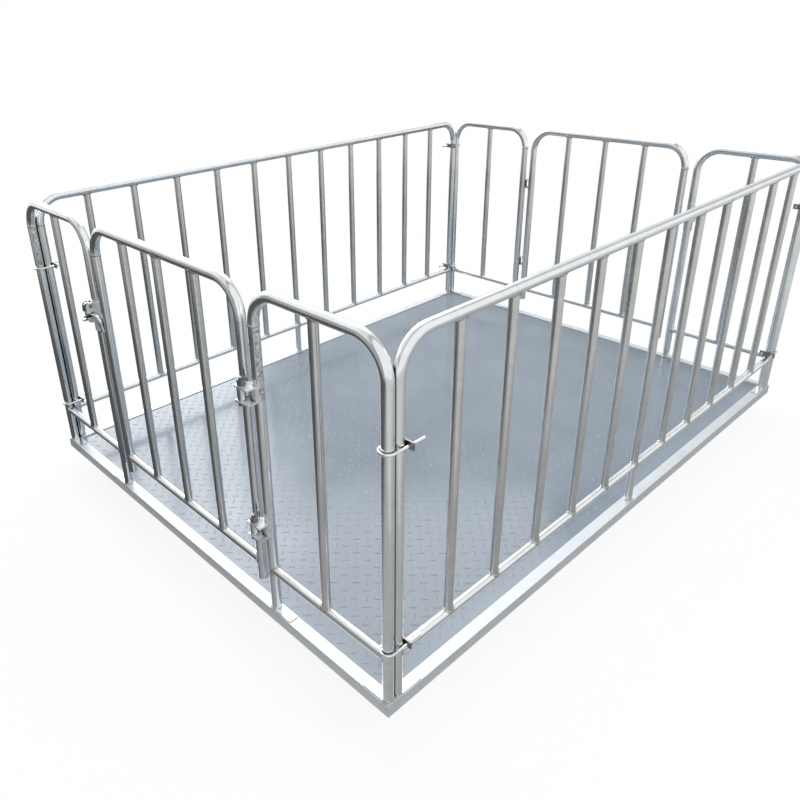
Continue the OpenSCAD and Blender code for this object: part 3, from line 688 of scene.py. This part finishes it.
def add_lamp(name, place, aim, size, watts, mirrored=True):
    """Softbox aimed at a point; one that is not mirrored leaves no patch in bright metal."""
    data = bpy.data.lights.new(name, "AREA")
    data.shape = "RECTANGLE"
    data.size, data.size_y = size
    data.energy = watts
    lamp = bpy.data.objects.new(name, data)
    lamp.location = place
    lamp.rotation_euler = (Vector(aim) - Vector(place)).to_track_quat("-Z", "Y").to_euler()
    lamp.visible_glossy = mirrored
    bpy.context.scene.collection.objects.link(lamp)


def flag_cloth(name, near, far=None, fade_from=0.0, fade_to=1.0, centre=(0, 0, 0)):
    """Matt cloth of one tone, or of a tone that shifts with the distance from a point on the floor."""
    material, tree, shader, point = start(name)
    cloth = put(tree, "ShaderNodeEmission", {"Color": linear(near), "Strength": 1.0})
    if far:
        away = put(tree, "ShaderNodeVectorMath", {0: point, 1: centre}, operation="DISTANCE")
        fade = put(tree, "ShaderNodeMapRange", {"Value": away.outputs["Value"], "From Min": fade_from,
                                                "From Max": fade_to}, interpolation_type="SMOOTHSTEP")
        tone = put(tree, "ShaderNodeMix", {"Factor": fade.outputs["Result"], "A": linear(near),
                                           "B": linear(far)}, data_type="RGBA")
        tree.links.new(tone.outputs["Result"], cloth.inputs["Color"])
    tree.links.new(cloth.outputs["Emission"], tree.nodes["Material Output"].inputs["Surface"])
    return material


FLAG_LIFT = 4 * MM


def build_flag(name, low, high, cloth, wall=0.0):
    """Cloth that only reflections see, on the floor or hung up to a height along its first edge.

    It draws the shaded flank of every bright tube.
    """
    bm = bmesh.new()
    corners = [(low[0], low[1], FLAG_LIFT), (high[0], low[1], FLAG_LIFT),
               (high[0], high[1], FLAG_LIFT), (low[0], high[1], FLAG_LIFT)]
    if wall:
        corners[1:3] = [(low[0], low[1], wall), (low[0], high[1], wall)]
    bm.faces.new([bm.verts.new(corner) for corner in corners])
    mesh = bpy.data.meshes.new(name)
    bm.to_mesh(mesh)
    bm.free()
    mesh.materials.append(cloth)
    flag = bpy.data.objects.new(name, mesh)
    flag.visible_camera = False
    flag.visible_diffuse = False
    flag.visible_transmission = False
    flag.visible_shadow = False
    bpy.context.scene.collection.objects.link(flag)


# Camera solved from points measured in the photograph: its turn in radians, its place over the rim's top,
# and its focal length and optical centre in pixels
YAW = 0.8387
PITCH = 0.4399
ROLL = -0.0311
EYE = Vector((-1.7765, -1.5032, 1.3016 + RIM_TOP))
PHOTO_PX = 800
FOCAL_PX = 749.39
CENTRE_PX = (341.2, 357.6)
SENSOR_MM = 36


def build_camera():
    """Camera at the photograph's place and angle, with its framing."""
    forward = Vector((math.cos(YAW) * math.cos(PITCH), math.sin(YAW) * math.cos(PITCH), -math.sin(PITCH)))
    level = Vector((math.sin(YAW), -math.cos(YAW), 0))
    upright = level.cross(forward)
    right = level * math.cos(ROLL) + upright * math.sin(ROLL)
    up = upright * math.cos(ROLL) - level * math.sin(ROLL)
    data = bpy.data.cameras.new("photo_camera")
    data.sensor_width = SENSOR_MM
    data.lens = FOCAL_PX / PHOTO_PX * SENSOR_MM
    data.shift_x = (PHOTO_PX / 2 - CENTRE_PX[0]) / PHOTO_PX
    data.shift_y = (CENTRE_PX[1] - PHOTO_PX / 2) / PHOTO_PX
    data.clip_end = 100
    camera = bpy.data.objects.new("photo_camera", data)
    turn = Matrix((right, up, -forward)).transposed().to_4x4()
    camera.matrix_world = Matrix.Translation(EYE) @ turn
    bpy.context.scene.collection.objects.link(camera)
    bpy.context.scene.camera = camera


build_floor()
build_world()
add_lamp("key_softbox", (2.5, -4.0, 4.5), aim=(0, 0, 0.4), size=(3.5, 2.5), watts=120, mirrored=False)
add_lamp("top_softbox", (2.2, 2.45, 5.1), aim=(0, 0, 0.3), size=(4.0, 4.0), watts=145)
add_lamp("front_softbox", (-3.2, -2.8, 3.0), aim=(-0.4, -0.3, 0.4), size=(2.2, 2.2), watts=60, mirrored=False)
add_lamp("left_softbox", (0.4, 4.2, 2.8), aim=(0, 0, 0.3), size=(3.5, 2.5), watts=120)

DARK_CLOTH = flag_cloth("dark_cloth", "989897", "545556", fade_from=1.1, fade_to=2.6)
ENTRY_CLOTH = flag_cloth("shaded_grey_cloth", "AEAFAE", "545556", fade_from=0.95, fade_to=1.7,
                         centre=(-1.2, -1.6, 0))
WALL_CLOTH = flag_cloth("grey_wall_cloth", "A8A8A7")
CORNER_CLOTH = flag_cloth("pale_grey_cloth", "D4D4D3")
LIGHT_CLOTH = flag_cloth("light_grey_cloth", "A8A8A7", "D4D4D3", fade_from=1.2, fade_to=2.5)
# The cloths lie round the crate with a little room, and two meet along a line at the entry end's right
FLAG_ROOM = 0.02
FLAG_REACH = 4.5
LONG_REACH = 9.0
ENTRY_SPLIT = -1.4
WALL_X = -3.2
WALL_TOP = 2.0
left, right = cad_box[0].x - FLAG_ROOM, cad_box[1].x + FLAG_ROOM
front, back = cad_box[0].y - FLAG_ROOM, cad_box[1].y + FLAG_ROOM
build_flag("entry_flag", (-FLAG_REACH, ENTRY_SPLIT), (left, FLAG_REACH), ENTRY_CLOTH)
build_flag("entry_wall_flag", (WALL_X, ENTRY_SPLIT), (left, FLAG_REACH), WALL_CLOTH, wall=WALL_TOP)
build_flag("corner_flag", (-FLAG_REACH, -FLAG_REACH), (left, ENTRY_SPLIT), CORNER_CLOTH)
build_flag("left_flag", (left, back), (FLAG_REACH, FLAG_REACH), DARK_CLOTH)
build_flag("exit_flag", (right, front), (FLAG_REACH, back), DARK_CLOTH)
build_flag("right_flag", (left, -FLAG_REACH), (LONG_REACH, front), LIGHT_CLOTH)
build_camera()
bpy.context.scene.view_settings.view_transform = "Standard"
